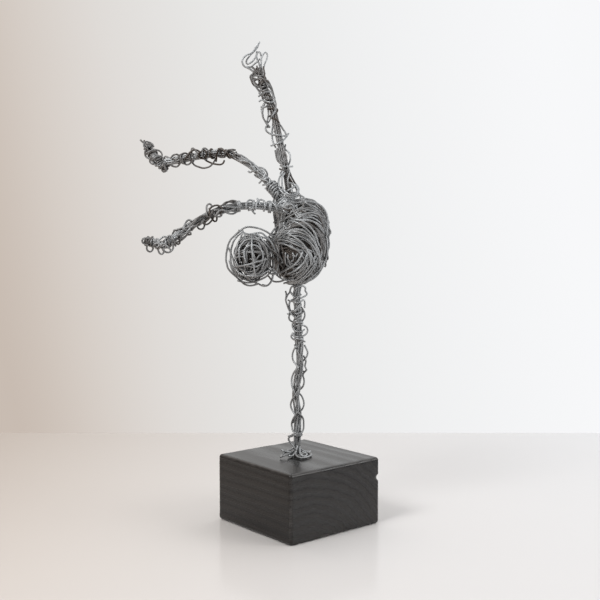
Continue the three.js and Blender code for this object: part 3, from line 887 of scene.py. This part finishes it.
# Routes (x, z) over the front. The turns of each fan lie between two of them.
SHOULDER = [(-6, 263), (1.5, 266.5), (8.5, 265.5), (15, 260.5), (20, 254.5), (23, 246.5)]
BLADE = [(-6.5, 245), (0.5, 250.5), (8.5, 255), (16, 253), (21.5, 246.5), (24, 237.5)]
RIBS_HIGH = [
    (-11.5, 238.5), (-6.5, 245.5), (1.5, 248), (8, 249), (15, 247), (20.5, 241), (23.5, 232), (22.5, 222.5),
]
RIBS_LOW = [
    (-15.5, 232.5), (-10, 238.5), (-2, 242.5), (5, 241), (11, 237), (15.5, 231), (19, 224), (19, 215),
]
CHEST = [(-16, 232.5), (-8, 235), (0, 233), (7, 229), (12, 221.5), (14.5, 213), (14, 206.5)]
NECKLINE = [(-17, 226.5), (-12, 228.5), (-7.5, 227), (-1, 224.5), (4, 221), (7, 216), (8.5, 209.5)]
UNDER_HIGH = [(-10.5, 201.5), (-5.5, 204), (0, 208), (4, 213.5), (6, 220), (6, 225)]
UNDER_LOW = [(-9, 197), (-1, 195.5), (5.5, 199), (12, 204), (17.5, 211.5), (21.5, 220)]
CUP_SMALL = [(-6, 220), (-5.5, 214.5), (-2, 210), (1.5, 213), (3, 219)]
CUP_WIDE = [(-8, 221.5), (-7.5, 213), (-5.5, 206), (-1.5, 205.5), (3, 210.5)]
COLLAR_OUT = [(-25, 233), (-24, 228), (-22.5, 222), (-22, 216), (-22.5, 211), (-23.5, 207.5)]
COLLAR_IN = [(-14.5, 233), (-13, 227), (-11.5, 220), (-11, 213.5), (-12, 208), (-12, 202.5)]
WAIST_OUT = [(-18.5, 262), (-18, 253), (-16, 246), (-16, 240), (-20, 232)]
WAIST_IN = [(-6, 260), (-8, 253), (-12, 246), (-15.5, 239), (-22, 231)]
HIP_HIGH = [(-17, 264), (-10, 266), (-2, 266.5), (5.5, 264.5)]
HIP_LOW = [(-15.5, 255), (-8, 256), (-1, 260), (6, 261.5)]
SEAM_LEFT = [(-12, 259), (-7.5, 252.5), (-2, 246.5)]
SEAM_RIGHT = [(-4, 262.5), (3, 254.5), (9.5, 249)]


def torso():
    # The two windings that lie deep under the others all round are marked darkest: painted shade. The two
    # that come out to the skin behind are marked light.
    inner = [
        (wind(INNER_TURNS, 60, -4.8, -4.0, 0.2), 1.0),
        (wind(INNER_TURNS[::-1], 46, -3.6, -1.8, 0.3), 0.8),
        (wind(INNER_TURNS, 42, -9.0, -0.4, 0.35), 0.2),
        (wind(INNER_TURNS[::-1], 24, -9.0, 0.2, 0.5), 0.15),
    ]
    grey = fan(HIP_HIGH, HIP_LOW, 6, lift=-0.5)
    grey += fan(SEAM_LEFT, SEAM_RIGHT, 5, lift=-0.3, sink=3)
    grey += fan(WAIST_OUT, WAIST_IN, 14, sink=3, cross=1.6)
    grey += fan(SHOULDER, BLADE, 10, lift=-0.4, cross=1.6, round_the_edge=True)
    grey += fan(BLADE, RIBS_HIGH, 7, lift=-0.2, cross=1.8, round_the_edge=True)
    grey += fan(RIBS_LOW, CHEST, 5, lift=0.2, sink=5)
    grey += fan(CHEST, NECKLINE, 8, lift=-0.4, sink=6, cross=2.6)
    grey += fan(UNDER_HIGH, UNDER_LOW, 8, lift=-0.4, sink=5, cross=1.8)
    grey += fan(CUP_SMALL, CUP_WIDE, 4, lift=-1.6, sink=3)
    grey += tufts((-8, 256), (10, 8), 16, 12)
    grey += tufts((-14, 265), (6, 3), 8, 9)
    brown = fan(RIBS_HIGH, RIBS_LOW, 9, lift=0.0, cross=1.8, round_the_edge=True)
    brown += fan(COLLAR_OUT, COLLAR_IN, 14, sink=3, cross=1.2)
    brown += tufts((-2, 255), (8, 6), 8, 12)
    grey += [over_body(points, rng.uniform(0.6, 1.8)) for points in (
        [(-25.5, 232.5), (-20, 240.5), (-14.5, 246.5), (-9.5, 249.5), (-2.5, 253.5), (3.5, 257),
         (9.5, 256.5)],
        [(-21.5, 236.5), (-13.5, 239), (-2.5, 238.5), (5.5, 236.5), (11.5, 231.5), (14, 224.5)],
        [(-18.5, 238), (-10.5, 237.5), (-2.5, 234), (4, 228.5), (8, 222), (10, 216), (9.5, 210.5)],
        [(-16.5, 237.5), (-6, 239.5), (4, 239.5), (10.5, 233.5), (14.5, 225.5), (16, 218.5)],
        [(-10, 248), (-2.5, 246.5), (4.5, 242.5), (10.5, 236.5), (14, 229.5), (15.5, 221.5)],
        [(-6.5, 248.5), (2.5, 247.5), (10, 242), (14.5, 234.5), (16.5, 226.5)],
        [(-17.5, 232), (-9.5, 231.5), (-1.5, 228), (7.5, 224.5), (12, 222.5)],
        [(-18, 229.5), (-10.5, 228.5), (-2.5, 224.5), (4, 223.5)],
        [(4, 223.5), (0.5, 216), (-6, 210), (-14.5, 206)],
        [(8, 222.5), (4, 213.5), (-2.5, 207.5), (-10, 204)],
        [(-22.5, 237.5), (-19.5, 231.5), (-16, 224), (-15.5, 218.5), (-16.5, 213.5), (-19.5, 209.5)],
        [(-16.5, 237.5), (-12, 240.5), (-6.5, 242), (-4.5, 245.5)], [(-11.5, 248), (-12.5, 240)],
        [(-8, 248), (-6, 244), (-7.5, 240)], [(-25.5, 232), (-23, 236.5), (-17.5, 243), (-13.5, 248.5)],
        [(-13, 257), (-9.5, 253.5), (-5.5, 252.5)], [(-5.5, 253.5), (0, 256.5), (4, 258)],
        [(-20, 246), (-17.5, 250.5), (-16, 257)], [(-20.5, 258), (-19, 252), (-18, 245)],
        [(-20, 266.5), (-16, 265), (-6, 265.5), (0, 268)], [(-8, 264), (-6, 263), (0, 262), (7, 263)],
        [(-21, 262), (-16, 262.5), (-11, 264.5)], [(-17, 268), (-18.5, 260), (-16, 253)],
        [(-12, 260), (-6, 261), (-2.5, 258), (-7, 254)],
        [(-20.5, 264), (-20.5, 259), (-20, 253), (-19, 247), (-18.5, 241)],
    )]
    hollow = [over_body(points, rng.uniform(-1.5, -0.5), 1.5) for points in (
        [(-10, 222.5), (-10.5, 216), (-9.5, 211.5), (-5, 210)],
        [(-8, 220.5), (-8, 214.5), (-5.5, 214), (-3.5, 216.5), (-4, 222)],
        [(-4.5, 222), (-2, 217.5), (0, 222)],
    )]
    brown += [over_body(points, rng.uniform(-0.4, 0.6)) for points in (
        [(-25.5, 233.5), (-22.5, 228), (-20, 222.5), (-19.5, 216.5), (-20, 212), (-22.5, 208)],
        [(-23.5, 234.5), (-20, 228), (-17.5, 222), (-17.5, 216), (-18.5, 211)],
        [(11.5, 254.5), (16, 252), (19.5, 245.5), (20.5, 237.5), (19.5, 229.5), (20, 222)],
    )]
    hip = over(TOP_LEG, [(-4, 268), (-2.5, 271), (-0.5, 271), (1, 267)], close=3)
    hip += [coil(TOP_LEG, 0.125, 0.215, 5, 4.8)]
    hip += [loose(TOP_LEG, 0.0, 0.14, 3, close=4.6, swell=1.2, sway=2.0) for _ in range(2)]
    edge = [smooth(points, 1.3) for points in (
        [(2, -4, 263), (8, -5, 263), (14.5, -3, 262), (20, -2, 258.5), (23.2, -1, 253), (24, -1, 246),
         (23, -1, 236)],
        [(21, 0, 241), (23, -1, 233), (23.6, -1, 225), (22.5, -1, 217), (18, -1, 207), (12, 0, 201),
         (5, 0, 196.5)],
        [(18, -3, 222), (14, -6, 211.5), (5, -6, 204), (-4, -5, 200), (-10, -6, 199.5), (-16, -6, 202.5),
         (-21, -6, 208)],
    )]
    return inner + with_tarnish_and_shade(grey, 0.12) + with_tarnish_and_shade(hollow, 0.1) + with_tarnish_and_shade(hip + edge, 0.12) + with_tarnish_and_shade(brown, 0.7)


# ---------------- the head

HEAD_CENTRE = np.array([-36.5, -10.0, 217.5])
HEAD_HALF = np.array([15.0, 13.5, 18.5])
GOLDEN_ANGLE = 2.4  # in radians, rounded


def ball(count, low, high):
    """Loops round the head, facing all ways evenly. Each has its own size and distance from the middle."""
    routes = []
    t = np.linspace(0, 1, 26)
    for i in range(count):
        up = 1 - (2 * i + 1) / count
        around = GOLDEN_ANGLE * i + rng.uniform(-0.6, 0.6)
        flat = math.sqrt(1 - up * up)
        facing = np.array([flat * math.cos(around), flat * math.sin(around), up])
        facing = unit(facing + rng.normal(0, 0.2, 3))
        a = unit(np.cross(facing, [0.3, 0.5, 0.8]))
        b = np.cross(facing, a)
        angle = (any_angle() + TURN * rng.uniform(0.8, 1.4) * t)[:, None]
        off = rng.uniform(-0.55, 0.55) + 0.1 * (t - 0.5)[:, None]
        ends = np.clip(1 - np.minimum(t, 1 - t) / 0.12, 0, 1)  # which dip into the ball
        size = rng.uniform(low, high) + drift(t, 2, 0.05) - 0.25 * ends
        loop = (np.cos(angle) * a + np.sin(angle) * b) * np.sqrt(1 - off**2) + off * facing
        routes.append(kinked(smooth(HEAD_CENTRE + loop * HEAD_HALF * size[:, None], 1.5), 0.3))
    return routes


def over_head(off, front, points):
    """A route (x, z) from the ball's middle, standing off the ball by `off`, before it or behind it.

    Beyond its outline it is beside the ball.
    """
    x, z = smooth(np.array(points) + HEAD_CENTRE[[0, 2]], 1.2).T
    spare = 1 - ((x - HEAD_CENTRE[0]) / HEAD_HALF[0]) ** 2 - ((z - HEAD_CENTRE[2]) / HEAD_HALF[2]) ** 2
    depth = HEAD_HALF[1] * np.sqrt(np.clip(spare, 0, 1)) + off
    depth = np.where(spare < 0, off * np.exp(spare * 2), depth)
    y = HEAD_CENTRE[1] + (-depth if front else depth)
    return kinked(smooth(relaxed(np.column_stack([x, y, z]), 4)[::2], 1.2), 0.15)


def head():
    # The inner loops of the ball are marked darker than the outer ones: painted shade deep in the ball, on
    # top of the wire's own tone.
    routes = with_tarnish_and_shade(ball(22, 0.35, 0.82), 0.75) + with_tarnish_and_shade(ball(24, 0.88, 1.0), 0.4)
    routes += with_tarnish_and_shade([over_head(*wire) for wire in (
        (3, False, [(16, 18), (7.5, 23), (-1, 25), (-5.5, 25), (-12.5, 20), (-18.5, 14), (-21, 6),
         (-21.5, -4), (-19, -10), (-13, -15.5), (-7, -21), (-2.5, -22.5), (5, -20.5)]),
        (3, True, [(3.5, 20), (11, 11), (15, 5.5), (16.5, 0), (16.5, -11.5), (15, -19), (11.5, -22.5),
         (6.5, -21)]),
        (1, True, [(1, 19), (7, 17), (13.5, 14.5), (17, 8.5), (19.5, 2.5), (20.5, -4.5), (19.5, -10),
         (15.5, -14.5)]),
        (2, True, [(-15.5, -7), (-5.5, -5.5), (2, -3.5), (12.5, -0.5)]),
        (2, True, [(-0.5, 17.5), (0, 7.5), (1, -2), (2.5, -15)]),
        (2.5, True, [(-15.5, -6.5), (-9, -13), (-1.5, -14), (5, -13.5), (11.5, -10.5), (17, -7.5)]),
        (2, True, [(-14.5, 5.5), (-10.5, 14.5), (-7.5, 21.5), (-6, 17.5), (-9.5, 12.5)]),
        (1, False, [(-19, -1.5), (-16, -11), (-8.5, -16.5), (-2, -18.5), (4, -20.5), (9, -23),
         (14, -20.5), (16, -13.5)]),
        (1.5, True, [(-7.5, 22), (-14, 16), (-17, 9), (-18, 0), (-16.5, -7), (-11.5, -14.5)]),
        (1.5, True, [(-9.5, -3.5), (-10.5, 5), (-8.5, 11.5), (-3, 15), (4, 14.5), (9.5, 10.5), (12, 3.5),
         (11, -4.5), (6.5, -11), (-1.5, -13), (-7.5, -9.5)]),
        (1, True, [(-4.5, -3.5), (-6.5, 2.5), (-5.5, 8), (-0.5, 10.5), (5.5, 9), (8.5, 3.5), (8, -3),
         (3, -7), (-3.5, -6)]),
        (1, True, [(-19.5, 8.5), (-15.5, -2.5), (-13.5, -11.5), (-7.5, -18.5)]),
        (0.5, False, [(-11.5, 22.5), (-3.5, 19), (6.5, 20.5), (14.5, 13.5)]),
        (2, True, [(7.5, -9), (9.5, -3.5), (11, 1)]),
        (1, True, [(-12.5, -18), (-3.5, -20), (5.5, -17.5), (12.5, -13.5), (17, -6.5)]),
    )], 0.2)
    neck = [smooth(points) for points in (
        [(-27, -13, 225), (-21, -14, 224), (-16, -12, 220), (-12, -9, 214)],
        [(-27, -15, 217), (-20, -14, 217), (-15, -12, 213), (-11, -8, 209)],
        [(-27, -12, 209), (-22, -12, 205), (-17, -10, 205), (-11, -8, 207)],
        [(-24, -10, 203), (-20.5, -9, 199), (-15, -7, 198.5), (-8, -5, 201)],
        [(-28, -8, 230), (-22, -8, 232), (-18, -6, 229), (-13, -6, 224)],
    )]
    return routes + with_tarnish_and_shade(neck, 0.6)


# ---------------- the plinth


def plinth():
    """The block with rounded edges, faces that aren't quite flat, and the knock on its edge.

    A grid with square edges is made first. Its corners are then moved out to the edges' radius.
    """
    half = (plinth_high - plinth_low) / 2
    middle = (plinth_high + plinth_low) / 2
    corner = [math.tan(a) * PLINTH_EDGE for a in np.linspace(0, math.pi / 4, 6)]

    def marks(size, flat_steps):
        """Places along one edge of the block, close together where it is rounded."""
        flat = np.linspace(-(size - PLINTH_EDGE), size - PLINTH_EDGE, flat_steps)
        end = [size - PLINTH_EDGE + c for c in corner[1:]]
        return np.concatenate([[-e for e in end[::-1]], flat, end])

    lines = [marks(half[0], 40), marks(half[1], 40), marks(half[2], 70)]
    corners, faces, index = [], [], {}

    def corner_at(point):
        key = tuple(np.round(point, 5))
        if key not in index:
            index[key] = len(corners)
            corners.append(point)
        return index[key]

    for axis in range(3):
        b, c = (axis + 1) % 3, (axis + 2) % 3
        for side in (-1, 1):
            grid = np.empty((len(lines[b]), len(lines[c])), int)
            for i, s in enumerate(lines[b]):
                for j, t in enumerate(lines[c]):
                    point = np.empty(3)
                    point[axis], point[b], point[c] = side * half[axis], s, t
                    grid[i, j] = corner_at(point)
            for i in range(len(lines[b]) - 1):
                for j in range(len(lines[c]) - 1):
                    quad = [grid[i, j], grid[i + 1, j], grid[i + 1, j + 1], grid[i, j + 1]]
                    faces.append(quad if side > 0 else quad[::-1])
    p = np.array(corners)
    inner = np.clip(p, -(half - PLINTH_EDGE), half - PLINTH_EDGE)
    out = unit(p - inner)
    p = inner + out * PLINTH_EDGE
    ripple = sum(np.sin(p @ w + k) for k, w in enumerate(rng.normal(0, 0.11, (6, 3)))) / 6
    above_foot = np.clip((p[:, 2] + half[2]) / 4, 0, 1)
    p = p - out * (FACE_WEAR * (1 + ripple))[:, None] * above_foot[:, None]
    knock = np.array([half[0], -half[1], CHIP["height"] - middle[2]])
    near = (p - knock) / (np.array([CHIP["width"], CHIP["width"], CHIP["length"]]) / 2)
    depth = CHIP["depth"] * np.clip(1 - (near**2).sum(1), 0, 1) ** 0.6
    p = p - unit(np.array([1.0, -1.0, 0.0])) * depth[:, None]
    edge = (np.abs(out) > 0.25).sum(1) > 1
    rub = sum(np.sin(p @ w + k) for k, w in enumerate(rng.normal(0, 0.5, (5, 3)))) / 5
    wear = np.where(edge, np.clip(0.25 + 0.6 * rub, 0, 0.7), 0.0)
    wear = np.maximum(wear, np.clip(depth * 0.5, 0, 0.5))
    piece = mesh_piece("wood_block", (p + middle) / 1000, faces, "plinth", wood_material)
    mark(piece, "wear", wear)


plinth()
wire_piece("planted_arm", support_arm(), "support_arm")
wire_piece("planted_arm_scribble", support_arm_wrap(), "support_arm_wrap")
wire_piece("lifted_arm", raised_arm(), "raised_arm")
wire_piece("lifted_arm_scribble", raised_arm_wrap(), "raised_arm_wrap")
wire_piece("upper_leg", top_leg(), "top_leg")
wire_piece("upper_leg_scribble", top_leg_wrap(), "top_leg_wrap")
wire_piece("lower_leg", bottom_leg(), "bottom_leg")
wire_piece("lower_leg_scribble", bottom_leg_wrap(), "bottom_leg_wrap")
wire_piece("body_winding", torso(), "torso")
wire_piece("head_winding", head(), "head")

# ---------------- table, backdrop, light and camera

TABLE_X = (-3000, 3000)
TABLE_Y = (-2500, 361)
WALL_X = (-4000, 6000)
WALL_Y = 1500
WALL_Z = (-1500, 3000)
CAMERA = (1.4, -735, 223)
CAMERA_DOWN = math.radians(3.1)
SENSOR = 36
LENS = 54


def corners_of(first, second):
    """The corners of a rectangle in order, from its range each way."""
    (a, b), (c, d) = first, second
    return [(a, c), (b, c), (b, d), (a, d)]


def slab(name, points, material):
    """A flat stage piece through four corners."""
    add_mesh(name, place(points), [(0, 1, 2, 3)], material)


def across(m, slope, reach):
    """From 0 at -reach to 1 at +reach along the figure's x, in metres, with x shifted by slope * height."""
    along = m.add("VectorMath", operation="DOT_PRODUCT")
    m.feed(along.inputs[0], m.where())
    m.feed(along.inputs[1], (math.cos(FIGURE_TURN), math.sin(FIGURE_TURN), slope))
    return m.scaled(along.outputs["Value"], 0.5 / reach, 0.5)


def table_top():
    """White laminate with painted shade: its colour darkens and turns warmer towards its left, where the
    light falls off.
    """
    m = Nodes("pale_table")
    stops = [
        (0.0, (0.54, 0.46, 0.40)), (0.25, (0.63, 0.57, 0.52)),
        (0.5, (0.73, 0.70, 0.68)), (1.0, (0.83, 0.84, 0.86)),
    ]
    colour = m.ramp(across(m, 0.0, 0.5), stops, "B_SPLINE")
    m.surface(Base_Color=colour, Roughness=0.16, Specular_IOR_Level=0.12)
    return m.material


def paper():
    """A backdrop that glows in place of lit paper, with painted light: brighter and cooler towards its
    right.
    """
    m = Nodes("pale_backdrop")
    stops = [
        (0.0, (0.56, 0.48, 0.42)), (0.13, (0.67, 0.61, 0.56)), (0.27, (0.745, 0.715, 0.69)),
        (0.45, (0.80, 0.80, 0.79)), (0.7, (0.87, 0.875, 0.88)), (1.0, (0.945, 0.95, 0.965)),
    ]
    glow = m.ramp(across(m, 0.18, 0.74), stops, "B_SPLINE")
    m.surface(Base_Color=(0.0, 0.0, 0.0), Roughness=1.0, Specular_IOR_Level=0.0)
    m.surface(Emission_Color=glow, Emission_Strength=1.0)
    return m.material


slab("table", [(x, y, 0) for x, y in corners_of(TABLE_X, TABLE_Y)], table_top())
slab("wall", [(x, WALL_Y, z) for x, z in corners_of(WALL_X, WALL_Z)], paper())


def aim(thing, start, direction):
    """Puts a lamp or a camera at a place, looking in a direction."""
    thing.location = start
    thing.rotation_mode = "QUATERNION"
    thing.rotation_quaternion = Vector(direction).to_track_quat("-Z", "Y")


def area_light(name, at, towards, size, power):
    """A round lamp. Its size is in metres and its power in watts."""
    data = bpy.data.lights.new(name, "AREA")
    data.shape = "DISK"
    data.size = size
    data.energy = power
    start, end = place([at, towards])
    aim(add_object(name, data), start, end - start)


area_light("key", (-650, -650, 950), (0, 0, 220), 0.5, 9)
area_light("fill", (1600, -400, 900), (0, 0, 220), 1.1, 11)
area_light("overhead", (100, 500, 1500), (0, 0, 0), 3.2, 16)

world = bpy.data.worlds.new("studio")
world.use_nodes = True
background = world.node_tree.nodes["Background"]
background.inputs["Color"].default_value = (0.93, 0.93, 0.94, 1)
background.inputs["Strength"].default_value = 0.2
bpy.context.scene.world = world
bpy.context.scene.view_settings.view_transform = "Standard"

camera_data = bpy.data.cameras.new("camera")
camera_data.sensor_width = SENSOR
camera_data.lens = LENS
camera = add_object("camera", camera_data)
sight = (0, 1000 * math.cos(CAMERA_DOWN), -1000 * math.sin(CAMERA_DOWN))
eye, ahead = place([CAMERA, np.array(CAMERA) + sight])
aim(camera, eye, ahead - eye)
bpy.context.scene.camera = camera
